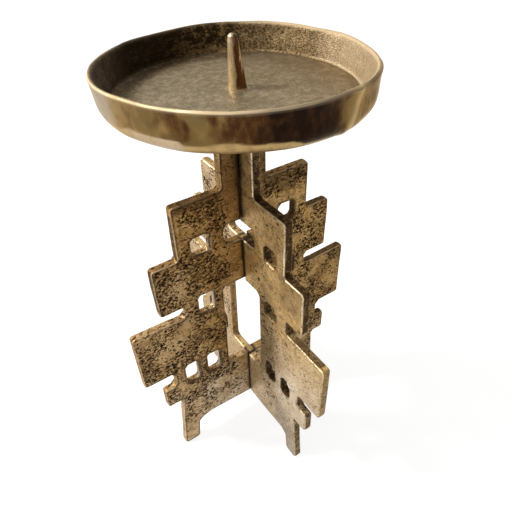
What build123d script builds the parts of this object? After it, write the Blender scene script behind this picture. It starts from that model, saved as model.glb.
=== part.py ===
"""Pricket candle stand: two stepped plates crossed at a right angle carry a dish with a spike.

Millimetres, +Z up. The origin is on the floor, under the spike, where the plates cross.
The long plate lies in the plane Y = 0 and the cross plate in the plane X = 0.
"""
import os

from build123d import *

# Plates: both are cast from one pattern. Reaches are measured out from the upright axis.
plate_thickness = 4.2
neck_reach = 11.3
shoulder_overhang = 11.6
wide_tab_overhang = 15.9
low_tab_overhang = 5.7
ankle_inset = 7.5
toe_flare = 1.5
sole_width = 6.4
arch_flare = 1.8

# Plates: heights, stacked from the floor to the top of the neck.
ankle_height = 37.2
low_tab_height = 13.2
low_notch_height = 11.0
wide_tab_height = 32.0
high_notch_height = 8.6
shoulder_height = 25.5
upper_step_height = 25.4
neck_height = 36.7
arch_height = 14.2
belly_height = 12.0

# Plates: corner radii of the outline.
tip_radius = 1.6
step_radius = 1.1
notch_radius = 2.2
arch_radius = 3.0
sole_radius = 1.5
neck_radius = 0.5

# Plates: the tall window in the middle, and the rounded square holes.
window_width = 28.0
window_height = 54.5
window_sill_height = 48.0
window_radius = 1.8
hole_radius = 2.6
upper_hole_width = 9.6
upper_hole_height = 10.3
upper_row_rise = 4.0
high_hole_width = 9.5
high_hole_height = 12.5
low_hole_width = 8.3
low_hole_height = 15.0
low_row_drop = 1.3

# Plates: the webs of metal left beside the window and the holes.
window_web = 5.0
low_web = 4.3
upper_step_web = 5.05
high_notch_web = 6.5
low_notch_web = 5.4

# Halving joint: the cross plate sits a little lower in its slot than the long one.
slot_clearance = 0.15
cross_plate_drop = 1.4
cut_overrun = 5.0

# Dish: the wall leans out to the rim and thickens down to its foot.
dish_rim_radius = 50.7
dish_wall_lean = 1.5
dish_height = 14.2
dish_floor_thickness = 2.9
wall_foot_thickness = 4.0
rim_thickness = 2.0
rim_round_share = 0.45
lower_edge_radius = 5.0
wall_foot_radius = 1.5

# Pricket: spike, shoulder seat in the dish floor, shank and spread tail.
spike_base_radius = 3.6
spike_height = 18.6
spike_tip_round_share = 0.72
spike_radius_shares = (1.0, 0.86, 0.7, 0.56, 0.42)
spike_height_shares = (0.0, 0.22, 0.52, 0.82, 1.0)
seat_depth = 0.6
seat_clearance = 0.1
shank_radius = 2.0
shank_clearance = 0.05
tail_radius = 3.0
tail_height = 1.0
tail_recess = 0.1

# Levels that follow from the stacked heights.
low_tab_top = ankle_height + low_tab_height
wide_tab_bottom = low_tab_top + low_notch_height
wide_tab_top = wide_tab_bottom + wide_tab_height
shoulder_bottom = wide_tab_top + high_notch_height
shoulder_top = shoulder_bottom + shoulder_height
upper_step_top = shoulder_top + upper_step_height
neck_top = upper_step_top + neck_height

# Places of the holes: one column beside the window, and a second one outside the low row.
inner_column = window_width / 2 + window_web + low_hole_width / 2
outer_column = inner_column + low_hole_width + low_web

# Reaches that follow from the holes, from the upper step down to the arch between the feet.
upper_step_reach = inner_column + upper_hole_width / 2 + upper_step_web
high_notch_reach = inner_column + high_hole_width / 2 + high_notch_web
shoulder_reach = high_notch_reach + shoulder_overhang
low_notch_reach = outer_column + low_hole_width / 2 + low_notch_web
wide_tab_reach = low_notch_reach + wide_tab_overhang
low_tab_reach = low_notch_reach + low_tab_overhang
ankle_reach = low_tab_reach - ankle_inset
toe_reach = ankle_reach + toe_flare
heel_reach = toe_reach - sole_width
arch_reach = heel_reach - arch_flare

# Heights of the rows of holes and of the window's middle.
upper_row = shoulder_top + upper_row_rise
high_row = (wide_tab_top + shoulder_bottom) / 2
low_row = (low_tab_top + wide_tab_bottom) / 2 - low_row_drop
window_middle = window_sill_height + window_height / 2

# The two slots meet half way up the bar between the window and the upper row of holes.
bar_bottom = window_sill_height + window_height
bar_top = upper_row - upper_hole_height / 2
joint_level = (bar_bottom + bar_top) / 2
slot_width = plate_thickness + 2 * slot_clearance

# The dish stands on the two neck tops.
dish_base_radius = dish_rim_radius - dish_wall_lean
dish_floor_radius = dish_base_radius - wall_foot_thickness
rim_round = rim_thickness * rim_round_share
dish_floor = neck_top + dish_floor_thickness
dish_rim = neck_top + dish_height
seat_level = dish_floor - seat_depth

# The tail's cone follows the countersink and stops short of the underside.
tail_spread = (tail_radius - shank_radius) / tail_height
tail_edge_radius = tail_radius - tail_recess * tail_spread


def wing_corners(drop):
    """Reach, height and radius of each corner of a wing, from the neck top down to the arch."""
    return (
        (neck_reach, neck_top, neck_radius),
        (neck_reach, upper_step_top - drop, step_radius),
        (upper_step_reach, upper_step_top - drop, tip_radius),
        (upper_step_reach, shoulder_top - drop, step_radius),
        (shoulder_reach, shoulder_top - drop, tip_radius),
        (shoulder_reach, shoulder_bottom - drop, tip_radius),
        (high_notch_reach, shoulder_bottom - drop, notch_radius),
        (high_notch_reach, wide_tab_top - drop, notch_radius),
        (wide_tab_reach, wide_tab_top - drop, tip_radius),
        (wide_tab_reach, wide_tab_bottom - drop, tip_radius),
        (low_notch_reach, wide_tab_bottom - drop, notch_radius),
        (low_notch_reach, low_tab_top - drop, notch_radius),
        (low_tab_reach, low_tab_top - drop, tip_radius),
        (low_tab_reach, ankle_height - drop, tip_radius),
        (ankle_reach, ankle_height - drop, step_radius),
        (toe_reach, 0, sole_radius),
        (heel_reach, 0, sole_radius),
        (arch_reach, arch_height, arch_radius),
    )


def plate_face(plane, drop):
    """One whole plate as a flat face: a wing, its mirror image, the window and the holes."""
    corners = wing_corners(drop)
    radii = [radius for _, _, radius in corners]
    points = [(reach, height) for reach, height, _ in corners]
    mirrored_holes = (
        (inner_column, upper_row, upper_hole_width, upper_hole_height),
        (inner_column, high_row, high_hole_width, high_hole_height),
        (inner_column, low_row, low_hole_width, low_hole_height),
        (outer_column, low_row, low_hole_width, low_hole_height),
    )
    with BuildSketch(plane) as face:
        with BuildLine():
            FilletPolyline((0, neck_top), *points, (0, belly_height), radius=radii)
            mirror(about=Plane.YZ)
        make_face()
        with Locations((0, window_middle - drop)):
            RectangleRounded(window_width, window_height, window_radius, mode=Mode.SUBTRACT)
        with Locations((0, upper_row - drop)):
            RectangleRounded(2 * neck_reach, upper_hole_height, hole_radius, mode=Mode.SUBTRACT)
        for reach, height, width, tall in mirrored_holes:
            with Locations((-reach, height - drop), (reach, height - drop)):
                RectangleRounded(width, tall, hole_radius, mode=Mode.SUBTRACT)
    return face.sketch


# Long plate: slotted from the neck top down to the joint level.
with BuildPart() as long_plate:
    extrude(plate_face(Plane.XZ, 0), amount=plate_thickness / 2, both=True)
    with BuildSketch(Plane.XZ) as long_slot:
        with Locations((0, joint_level)):
            Rectangle(slot_width, neck_top - joint_level + cut_overrun, align=(Align.CENTER, Align.MIN))
    extrude(amount=plate_thickness, both=True, mode=Mode.SUBTRACT)

# Cross plate: slotted from its underside up to the joint level.
with BuildPart() as cross_plate:
    extrude(plate_face(Plane.YZ, cross_plate_drop), amount=plate_thickness / 2, both=True)
    with BuildSketch(Plane.YZ) as cross_slot:
        with Locations((0, joint_level)):
            Rectangle(slot_width, joint_level, align=(Align.CENTER, Align.MAX))
    extrude(amount=plate_thickness, both=True, mode=Mode.SUBTRACT)

# Drip dish: turned profile, bored for the pricket, with a seat above and a countersink below.
with BuildPart() as drip_dish:
    with BuildSketch(Plane.XZ) as dish_profile:
        with BuildLine():
            FilletPolyline(
                (0, neck_top),
                (dish_base_radius, neck_top),
                (dish_rim_radius, dish_rim),
                (dish_rim_radius - rim_thickness, dish_rim),
                (dish_floor_radius, dish_floor),
                (0, dish_floor),
                radius=[lower_edge_radius, rim_round, rim_round, wall_foot_radius],
            )
            Line((0, dish_floor), (0, neck_top))
        make_face()
    revolve(axis=Axis.Z)
    with BuildSketch(Plane.XZ) as bore_profile:
        with BuildLine():
            Polyline(
                (0, neck_top),
                (tail_radius + shank_clearance, neck_top),
                (shank_radius + shank_clearance, neck_top + tail_height),
                (shank_radius + shank_clearance, seat_level),
                (spike_base_radius + seat_clearance, seat_level),
                (spike_base_radius + seat_clearance, dish_floor),
                (0, dish_floor),
                close=True,
            )
        make_face()
    revolve(axis=Axis.Z, mode=Mode.SUBTRACT)

# Pricket: one turned piece, from the tail flush with the underside to the blunt tip.
spike_profile = [
    (spike_base_radius * radius_share, dish_floor + spike_height * height_share)
    for radius_share, height_share in zip(spike_radius_shares, spike_height_shares)
]
with BuildPart() as pricket:
    with BuildSketch(Plane.XZ) as pricket_profile:
        with BuildLine():
            Polyline(
                (0, dish_floor + spike_height),
                (0, neck_top + tail_recess),
                (tail_edge_radius, neck_top + tail_recess),
                (shank_radius, neck_top + tail_height),
                (shank_radius, seat_level),
                (spike_base_radius, seat_level),
                spike_profile[0],
            )
            Spline(*spike_profile)
            Line(spike_profile[-1], (0, dish_floor + spike_height))
        make_face()
        tip_corner = pricket_profile.vertices().sort_by_distance(Vector(*spike_profile[-1]))[0]
        fillet(tip_corner, radius=spike_profile[-1][0] * spike_tip_round_share)
    revolve(axis=Axis.Z)

os.makedirs("parts", exist_ok=True)
long_plate.part.label = "long_plate"
cross_plate.part.label = "cross_plate"
drip_dish.part.label = "drip_dish"
pricket.part.label = "pricket"
export_step(long_plate.part, "parts/long_plate.step")
export_step(cross_plate.part, "parts/cross_plate.step")
export_step(drip_dish.part, "parts/drip_dish.step")
export_step(pricket.part, "parts/pricket.step")
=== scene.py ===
import math
from itertools import product

import bpy
import numpy as np
from mathutils import Matrix
from mathutils.geometry import delaunay_2d_cdt


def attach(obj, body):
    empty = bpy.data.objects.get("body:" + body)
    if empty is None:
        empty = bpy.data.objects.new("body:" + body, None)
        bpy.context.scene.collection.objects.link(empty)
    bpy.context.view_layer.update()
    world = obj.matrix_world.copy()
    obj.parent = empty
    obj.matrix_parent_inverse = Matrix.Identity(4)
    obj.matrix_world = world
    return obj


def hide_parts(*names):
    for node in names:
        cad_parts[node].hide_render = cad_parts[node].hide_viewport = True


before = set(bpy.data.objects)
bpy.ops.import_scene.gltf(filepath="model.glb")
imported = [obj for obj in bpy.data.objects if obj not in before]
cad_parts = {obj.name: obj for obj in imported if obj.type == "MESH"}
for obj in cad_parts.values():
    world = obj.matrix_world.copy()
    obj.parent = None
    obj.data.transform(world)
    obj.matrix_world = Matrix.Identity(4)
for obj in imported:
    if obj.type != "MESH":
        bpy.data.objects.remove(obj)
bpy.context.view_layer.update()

# Long plate: one flat bronze casting from a sand mould, stepped down both sides, with a tall window,
# rounded square holes and two feet. It is slotted from the top for the cross plate. The faces keep
# the pits of the sand, and the edges are filed round and rubbed bright, with a painted highlight.
# Painted shade lies where the plates cross, under the dish and on shaded hole rims, and the lower
# parts carry a painted sheen.
mm = 0.001
plate_half = 2.1 * mm
neck_reach = 11.3 * mm
upper_step_reach = 33.0 * mm
high_notch_reach = 34.4 * mm
shoulder_reach = 46.0 * mm
low_notch_reach = 45.3 * mm
wide_tab_reach = 61.2 * mm
low_tab_reach = 51.0 * mm
ankle_reach = 43.5 * mm
toe_reach = 45.0 * mm
heel_reach = 38.6 * mm
arch_reach = 36.8 * mm
ankle_level = 37.2 * mm
low_tab_top = 50.4 * mm
wide_tab_bottom = 61.4 * mm
wide_tab_top = 93.4 * mm
shoulder_bottom = 102.0 * mm
shoulder_top = 127.5 * mm
upper_step_top = 152.9 * mm
neck_top = 189.6 * mm
arch_level = 14.2 * mm
belly_level = 12.0 * mm
slot_half = 2.25 * mm
joint_level = 114.4 * mm
window_half = 14.0 * mm
window_sill = 47.3 * mm
window_top = 102.5 * mm
window_radius = 1.8 * mm
upper_row = 131.5 * mm
high_row = 97.7 * mm
low_row = 54.6 * mm
inner_column = 23.15 * mm
outer_column = 35.75 * mm
upper_hole_half = (4.8 * mm, 5.15 * mm)
high_hole_half = (4.75 * mm, 6.25 * mm)
low_hole_half = (4.15 * mm, 7.5 * mm)
hole_radius = 2.6 * mm
tip_radius = 1.6 * mm
step_radius = 1.1 * mm
notch_radius = 2.2 * mm
sole_radius = 2.0 * mm
slot_radius = 0.75 * mm
arch_radius = 3.0 * mm
belly_radius = 20 * mm
edge_round = 0.65 * mm
hole_round = 1.05 * mm
hole_shrink = 0.75 * mm
as_pattern = (hole_shrink,) * 4
pit_depth = 0.24 * mm
outline_step = 0.62 * mm
grain_step = 0.64 * mm
longer_than_any_run = 1.0
stain_brown = (0.16, 0.08, 0.026)
bare_bronze = (0.74, 0.66, 0.55)
# Patina, together with painted shade and the dish's painted shadow where the plate maps put them.
patina_and_shade_brown = (0.055, 0.026, 0.009)
pit_edge_brown = (0.17, 0.085, 0.028)
pit_brown = (0.06, 0.027, 0.008)
pit_black = (0.020, 0.010, 0.004)
# Dark lines along face borders and edge grooves, and painted shade on the hole rims turned from the lamp.
line_and_shade_brown = (0.04, 0.02, 0.008)
# Painted shade where the plates cross and where the necks meet the dish.
crossing_shade_black = (0.022, 0.013, 0.007)
patina_skim = (0.95, 0.80, 0.58)
bare_skim = (1.0, 0.97, 0.92)


def filed_path(corners, step):
    """Walks round the corners with the metal on the left, each corner cut to an arc of its own radius.

    An arc's centre lies on the corner's bisector, at its radius over the sine of half the corner's
    angle. Between two arcs the path runs straight, in even steps. Gives the points, and at each
    point the direction into the metal.
    """
    spots = np.array([corner[:2] for corner in corners])
    radii = np.array([corner[2] for corner in corners])[:, None]
    back = np.roll(spots, 1, axis=0) - spots
    ahead = np.roll(spots, -1, axis=0) - spots
    back /= np.linalg.norm(back, axis=1, keepdims=True)
    ahead /= np.linalg.norm(ahead, axis=1, keepdims=True)
    angle = np.arccos(np.clip((back * ahead).sum(1, keepdims=True), -1, 1))
    bisector = (back + ahead) / np.linalg.norm(back + ahead, axis=1, keepdims=True)
    centres = spots + bisector * radii / np.sin(angle / 2)
    starts = spots + back * radii / np.tan(angle / 2)
    ends = spots + ahead * radii / np.tan(angle / 2)
    left_turn = (ahead[:, 0] * back[:, 1] - ahead[:, 1] * back[:, 0]) > 0
    points, inward = [], []
    for i, radius in enumerate(radii[:, 0]):
        sweep = math.pi - angle[i, 0]
        count = max(3, int(math.ceil(radius * sweep / (0.7 * step))))
        turn = np.linspace(0, sweep, count + 1)[:, None]
        spoke = np.sin(sweep - turn) * (starts[i] - centres[i]) + np.sin(turn) * (ends[i] - centres[i])
        spoke /= math.sin(sweep)
        points.append(centres[i] + spoke)
        inward.append(spoke / radius * (-1 if left_turn[i] else 1))
        run = starts[(i + 1) % len(starts)] - ends[i]
        length = np.linalg.norm(run)
        share = np.linspace(0, 1, max(1, int(round(length / step))) + 1)[1:-1, None]
        points.append(ends[i] + share * run)
        inward.append(np.tile([-run[1] / length, run[0] / length], (len(share), 1)))
    return np.vstack(points), np.vstack(inward)


def metal_depth(spots, paths):
    """Distance from each spot to the nearest outline, hole edge or slot wall, negative off the metal.

    The sign is the even and odd rule: a line drawn sideways from a spot in the metal meets the
    paths an odd number of times.
    """
    nearest = np.full(len(spots), 1.0)
    crossings = np.zeros(len(spots), int)
    for path in paths:
        for start, end in zip(path, np.roll(path, -1, axis=0)):
            run = end - start
            share = np.clip(((spots - start) @ run) / (run @ run), 0, 1)
            nearest = np.minimum(nearest, np.hypot(*(spots - start - share[:, None] * run).T))
            if start[1] != end[1]:
                low, high = sorted((start[1], end[1]))
                straddles = (spots[:, 1] >= low) & (spots[:, 1] < high)
                meets_at = start[0] + (spots[:, 1] - start[1]) * run[0] / run[1]
                crossings += straddles & (meets_at > spots[:, 0])
    return np.where(crossings % 2 == 1, nearest, -nearest)


def eased(value, low, high):
    """0 below low, 1 above high, and three squares less two cubes between them."""
    share = np.clip((value - low) / (high - low), 0, 1)
    return share * share * (3 - 2 * share)


def lumps(spots, cell, seed):
    """Random heights from -1 to 1 on a cubic lattice of that cell, blended with eased weights."""
    side = 32
    heights = np.random.default_rng(seed).uniform(-1, 1, (side, side, side))
    place = spots / cell + side / 2
    corner = np.floor(place).astype(int)
    share = eased(place - corner, 0, 1)
    total = np.zeros(len(spots))
    for step in product((0, 1), repeat=3):
        weight = np.prod(np.where(step, share, 1 - share), axis=1)
        total += weight * heights[tuple(((corner + step) % side).T)]
    return total


def sand_pits(spots, cell, slant, chance, seed):
    """Depth, 0 to 1, of the pits that sand grains leave: at most one long ellipse in each square cell.

    Each pit has a random centre, length, width and turn about the slant. A pit is there when its
    draw is below the chance at the spot.
    """
    side = 128
    spread = 1.1
    draws = np.random.default_rng(seed).random((6, side, side))
    home = np.floor(spots / cell).astype(int)
    depth = np.zeros(len(spots))
    for step in product((-1, 0, 1), repeat=2):
        square = home + step
        east, north, length, width, turn, there = draws[:, square[:, 0] % side, square[:, 1] % side]
        off = spots - (square + np.stack([east, north], axis=1)) * cell
        heading = slant + (turn - 0.5) * spread
        along = off[:, 0] * np.cos(heading) + off[:, 1] * np.sin(heading)
        across = off[:, 1] * np.cos(heading) - off[:, 0] * np.sin(heading)
        half_length = cell * (0.24 + 0.5 * length**2)
        half_width = cell * (0.15 + 0.14 * width)
        bowl = 1 - (along / half_length) ** 2 - (across / half_width) ** 2
        depth = np.maximum(depth, np.clip(bowl * 1.8, 0, 1) * eased(chance - there, 0, 0.12))
    return depth


def square_hole(reach, level, half_size, radius, shrink):
    """Corners of a hole at the middle of the plate, walked so that the metal lies on the left."""
    wide, tall = np.array(half_size) - np.array(shrink)
    turns = ((-1, -1), (-1, 1), (1, 1), (1, -1))
    return [(reach + x * wide, level + y * tall, radius) for x, y in turns]


def small_holes(drop, narrower=as_pattern, shorter=as_pattern, lower=(0,) * 4, right_shift=0):
    """The eight rounded square holes of a plate, in four sizes, each with its rounding.

    Each size came out narrower, shorter and lower than the pattern by its own amount, and the right
    wing's upper hole lies nearer the middle by the right shift.
    """
    columns = (inner_column, inner_column, inner_column, outer_column)
    rows = (upper_row, high_row, low_row, low_row)
    half_sizes = (upper_hole_half, high_hole_half, low_hole_half, low_hole_half)
    holes = []
    for side in (-1, 1):
        for i, (column, row, half_size) in enumerate(zip(columns, rows, half_sizes)):
            reach = side * column - right_shift * (side == 1 and i == 0)
            level = row - drop - lower[i]
            shrink = (narrower[i], shorter[i])
            corners = square_hole(reach, level, half_size, hole_radius - hole_round, shrink)
            holes.append((corners, hole_round))
    return holes


def wing_corners(drop, toe=0, heel=0, low_tab=(0, 0), wide_tab=(0, 0), shoulder=(0, 0, 0), step=(0, 0, 0)):
    """Reach, level and radius of the corners of one wing, from the arch up to the neck top.

    The values after the drop say how far this wing came out beyond the pattern: toe and heel
    longer, the low tab longer and lower, the wide tab higher and deeper, the shoulder longer, higher
    and deeper, and the step longer, higher at its end and higher at the neck.
    """
    low_tab_end = low_tab_reach + low_tab[0]
    low_tab_floor = ankle_level - drop - low_tab[1]
    low_tab_roof = low_tab_top - drop - low_tab[1]
    wide_tab_floor = wide_tab_bottom - drop - wide_tab[1]
    wide_tab_roof = wide_tab_top - drop + wide_tab[0]
    shoulder_end = shoulder_reach + shoulder[0]
    shoulder_floor = shoulder_bottom - drop - shoulder[2]
    shoulder_roof = shoulder_top - drop + shoulder[1]
    step_end = upper_step_reach + step[0]
    return [
        (arch_reach, arch_level, arch_radius),
        (heel_reach - heel, 0, sole_radius),
        (toe_reach + toe, 0, sole_radius),
        (ankle_reach, low_tab_floor, step_radius),
        (low_tab_end, low_tab_floor, tip_radius),
        (low_tab_end, low_tab_roof, tip_radius),
        (low_notch_reach, low_tab_roof, notch_radius),
        (low_notch_reach, wide_tab_floor, notch_radius),
        (wide_tab_reach, wide_tab_floor, tip_radius),
        (wide_tab_reach, wide_tab_roof, tip_radius),
        (high_notch_reach, wide_tab_roof - 0.7 * wide_tab[0], notch_radius),
        (high_notch_reach, shoulder_floor, notch_radius),
        (shoulder_end, shoulder_floor, tip_radius),
        (shoulder_end, shoulder_roof, tip_radius),
        (step_end, shoulder_roof, step_radius),
        (step_end, upper_step_top - drop + step[1], tip_radius),
        (neck_reach, upper_step_top - drop + step[2], step_radius),
        (neck_reach, neck_top, slot_radius),
    ]


def mirrored(corners):
    """The same corners on the other side of the middle, walked the other way."""
    return [(-reach, level, radius) for reach, level, radius in reversed(corners)]


def plate_skin(outline, holes, seed):
    """The smooth skin of a plate: even triangles over each face, and a filed edge along every path.

    The edge's section is a quarter round, a straight wall and a quarter round, carried along the
    path, and each hole has its own size of round. Gives the polygons, and the paths with whole
    straight runs. For each point, it gives the reach and level, the height off the middle of the
    plate, how far it faces forward, the direction off the metal, and whether it lies in a hole.
    """
    rounds = [edge_round] + [rounding for _, rounding in holes]
    paths = [outline] + [corners for corners, _ in holes]
    coarse = []
    for corners, rounding in zip(paths, rounds):
        points, inward = filed_path(corners, longer_than_any_run)
        coarse.append(points + (rounding - edge_round) * inward)

    reaches = np.arange(-wide_tab_reach, wide_tab_reach, grain_step)
    levels = np.arange(0, neck_top, grain_step * math.sqrt(0.75))
    grid = np.stack(np.meshgrid(reaches, levels), axis=-1)
    grid[1::2, :, 0] += grain_step / 2
    grid = grid.reshape(-1, 2)
    grid += np.random.default_rng(seed).uniform(-0.12, 0.12, grid.shape) * grain_step
    grid = grid[metal_depth(grid, coarse) > edge_round + 0.45 * grain_step]

    bend_rows, wall_rows = 6, 4
    bend_depth = 1.3
    bend = np.linspace(0, math.pi / 2, bend_rows)
    inset = 1 - np.sin(np.concatenate([bend, np.full(wall_rows, math.pi / 2), bend[::-1]]))
    facing = np.concatenate([np.cos(bend), np.zeros(wall_rows), -np.cos(bend[::-1])])
    rows = len(inset)
    first = 0
    rims, rim_runs, front, rear, quads, skin = [], [], [], [], [], []
    for corners, rounding in zip(paths, rounds):
        points, inward = filed_path(corners, outline_step)
        count = len(points)
        lane = np.arange(count)
        beside = np.roll(lane, -1)
        curve = plate_half - bend_depth * rounding * (1 - np.cos(bend))
        wall = np.linspace(curve[-1], -curve[-1], wall_rows + 2)[1:-1]
        height = np.concatenate([curve, wall, -curve[::-1]])
        carried = points[None] + rounding * inset[:, None, None] * inward[None]
        holed = np.full(rows * count, rounding > edge_round)
        band = [np.repeat(height, count), np.repeat(facing, count), np.tile(-inward, (rows, 1)), holed]
        skin.append(np.column_stack([carried.reshape(-1, 2), *band]))
        rim_runs.append(np.stack([lane, beside], axis=1) + sum(map(len, rims)))
        rims.append(points + rounding * inward)
        front.append(first + lane)
        rear.append(first + (rows - 1) * count + lane)
        row = np.arange(rows - 1)[:, None] * count + first
        quad = np.stack([row + lane, row + count + lane, row + count + beside, row + beside])
        quads += quad.reshape(4, -1).T.tolist()
        first += rows * count
    for side, ends in ((1.0, front), (-1.0, rear)):
        ends.append(first + np.arange(len(grid)))
        level_face = np.tile([side * plate_half, side, 0, 0, 0], (len(grid), 1))
        skin.append(np.column_stack([grid, level_face]))
        first += len(grid)

    seeds = np.vstack([*rims, grid])
    joined = delaunay_2d_cdt(seeds.tolist(), np.vstack(rim_runs).tolist(), [], 0, 1e-9, False)
    triangles = np.array(joined[2])
    middles = seeds[triangles].mean(axis=1)
    triangles = triangles[metal_depth(middles, coarse) > 0.2 * edge_round]
    front, rear = np.concatenate(front), np.concatenate(rear)
    polygons = quads + front[triangles].tolist() + rear[triangles[:, ::-1]].tolist()
    skin = np.vstack(skin)
    return polygons, coarse, skin[:, :2], skin[:, 2], skin[:, 3], skin[:, 4:6], skin[:, 6] == 1


def placed(name, data):
    """An object that holds this mesh, lamp or camera, linked into the scene."""
    made = bpy.data.objects.new(name, data)
    bpy.context.scene.collection.objects.link(made)
    return made


def made_piece(name, solid, polygons, traits):
    """A smooth piece of these points and polygons, with an amount at each point for every trait."""
    shell = bpy.data.meshes.new(name)
    shell.from_pydata(solid.tolist(), [], polygons)
    shell.shade_smooth()
    for trait, amount in traits.items():
        shell.attributes.new(trait, "FLOAT", "POINT").data.foreach_set("value", amount.astype(np.float32))
    return placed(name, shell)


def cast_plate(name, along, outline, holes, wear_and_shade_places, foot_bow, seed):
    """A plate's skin with the relief of the casting and the traits that its finish reads.

    A point of the plate is reach times along, plus height times outward, plus level times up. The
    faces sink and swell by lumps of three sizes, and have pits, places of wear with a painted sheen,
    patina with painted shade, and edges with a painted highlight where the plate's own map puts them.
    Painted shade falls off from where the plates cross and from under the dish at the neck top. The
    bow moves the left foot forward in its whole thickness.
    """
    polygons, coarse, spots, height, facing, normals, in_hole = plate_skin(outline, holes, seed)
    depth = metal_depth(spots, coarse)
    turned_out = np.abs(facing)
    on_face = turned_out == 1
    place = np.column_stack([spots[:, 0], height * 9, spots[:, 1]])
    reach, level = spots[:, 0] / mm, spots[:, 1] / mm
    chance, wear_and_sheen, patina_and_shade, rubbed_and_highlight, lined = wear_and_shade_places(reach, level, facing, normals, in_hole)

    swell = 0.11 * lumps(place, 9 * mm, seed + 1) + 0.05 * lumps(place, 3.1 * mm, seed + 2)
    swell = (swell + 0.025 * lumps(place, 1.3 * mm, seed + 3)) * mm
    chance = chance * (0.45 + 0.55 * eased(depth, 0.3 * mm, 2.4 * mm))
    chance = np.clip(chance * (0.85 + 1.3 * lumps(place, 7 * mm, seed + 4)), 0, 1)
    slant = np.where(facing > 0, 0.3, -0.2)
    large_pits = sand_pits(spots, 2.0 * mm, slant, 0.6 * chance, seed + 5)
    small_pits = sand_pits(spots + 31 * mm, 1.3 * mm, slant, 0.8 * chance, seed + 6)
    pits = np.maximum(large_pits, 0.8 * small_pits)
    bow = foot_bow * (1 - eased(level, 0, 30)) * eased(-reach, 28, 36)
    height = height + facing * (swell - pit_depth * pits) + bow

    calm = eased(np.abs(reach), 4, 12) * eased(level, 0, 8) * eased(neck_top / mm - level, 0, 8)
    drift = np.stack([lumps(place, 15 * mm, seed + 7), lumps(place, 15 * mm, seed + 8)], axis=1)
    dents = (0.05 * lumps(place, 2.3 * mm, seed + 9) - 0.05) * mm * (1 - turned_out)
    spots = spots + (0.22 * mm * drift + normals * dents[:, None]) * calm[:, None]
    spots = np.clip(spots, (-wide_tab_reach, 0), (wide_tab_reach, neck_top))

    # Rubbed bright edges, with a painted highlight.
    edge = eased(turned_out, 0.15, 0.6) * (1 - eased(turned_out, 0.9, 1.0)) * rubbed_and_highlight
    edge = edge * (0.75 + 0.5 * lumps(place, 6 * mm, seed + 10))
    kept_dark = 1 - 0.9 * eased(turned_out, 0.3, 0.7) * np.clip(rubbed_and_highlight, 0, 1)
    border = (1 - eased(depth, 0.75 * mm, 1.6 * mm)) * eased(lumps(place, 10 * mm, seed + 11), -0.9, 0.2)
    # Painted shade: dark falls off from where the plates cross and from under the dish at the neck top.
    off_crossing = np.abs(np.abs(spots[:, 0]) - plate_half)
    reach_of_dark = (1.2 + 1.3 * eased(spots[:, 1], 120 * mm, 160 * mm)) * mm
    crossing_shade = np.exp(-off_crossing / (reach_of_dark * (1 + 0.5 * lumps(place, 5 * mm, seed + 12))))
    crossing_shade = np.maximum(crossing_shade, 1 - eased(neck_top - spots[:, 1], 0.2 * mm, 3.0 * mm))
    traits = {
        "pit": pits * turned_out,
        "edge": edge,
        "wall": 1 - turned_out,
        "border": np.where(on_face, border * lined, lined),
        "crossing_shade": crossing_shade,
        "wear_and_sheen": wear_and_sheen,
        "patina_and_shade": patina_and_shade * np.where(on_face, 1, kept_dark),
        "crowd": chance * (1 - eased(crossing_shade, 0, 0.5)),
    }
    up = (0, 0, 1)
    outward = np.cross(along, up)
    solid = np.outer(spots[:, 0], along) + np.outer(height, outward) + np.outer(spots[:, 1], up)
    return made_piece(name, solid, polygons, traits)


def wired(tree, kind, sockets, **options):
    """Adds a node, sets its options, fills or joins its sockets, and gives its outputs."""
    made = tree.nodes.new("ShaderNode" + kind)
    for option, value in options.items():
        setattr(made, option, value)
    for socket, value in sockets.items():
        if isinstance(value, bpy.types.NodeSocket):
            tree.links.new(value, made.inputs[socket])
        else:
            made.inputs[socket].default_value = value
    return made.outputs


def empty_tree(owner):
    """The node tree of a finish or a room, emptied."""
    owner.use_nodes = True
    owner.node_tree.nodes.clear()
    return owner.node_tree


def new_finish(name, *traits):
    """An empty finish, the place on the piece in millimetres, and the amounts of the named traits."""
    finish = bpy.data.materials.new(name)
    tree = empty_tree(finish)
    where = wired(tree, "TexCoord", {})["Object"]
    to_mm = (1 / mm,) * 3
    place = wired(tree, "VectorMath", {0: where, 1: to_mm}, operation="MULTIPLY")[0]
    amounts = [wired(tree, "Attribute", {}, attribute_name=trait)["Fac"] for trait in traits]
    return finish, place, *amounts


def cloud(place, scale, detail=3.0, roughness=0.55, stretch=(1, 1, 1), turn=(0, 0, 0)):
    """Cloudy noise, 0 to 1, of that many clouds to a millimetre, stretched along the piece."""
    tree = place.id_data
    spread = wired(tree, "Mapping", {"Vector": place, "Scale": stretch, "Rotation": turn})[0]
    settings = {"Vector": spread, "Scale": scale, "Detail": detail, "Roughness": roughness}
    return wired(tree, "TexNoise", settings)[0]


def slope(value, low, high, start=0.0, end=1.0):
    """Eases from start to end while the value goes from low to high."""
    sockets = {"Value": value, "From Min": low, "From Max": high, "To Min": start, "To Max": end}
    return wired(value.id_data, "MapRange", sockets, interpolation_type="SMOOTHSTEP")[0]


def reckoned(operation, amount, *others):
    """Adds, multiplies, subtracts or compares amounts, from the first to the last."""
    tree = amount.id_data
    for other in others:
        amount = wired(tree, "Math", {0: amount, 1: other}, operation=operation)[0]
    return amount


def plus(*amounts):
    """The sum of the amounts."""
    return reckoned("ADD", *amounts)


def times(*amounts):
    """The product of the amounts."""
    return reckoned("MULTIPLY", *amounts)


def greatest(*amounts):
    """The greatest of the amounts."""
    return reckoned("MAXIMUM", *amounts)


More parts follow.
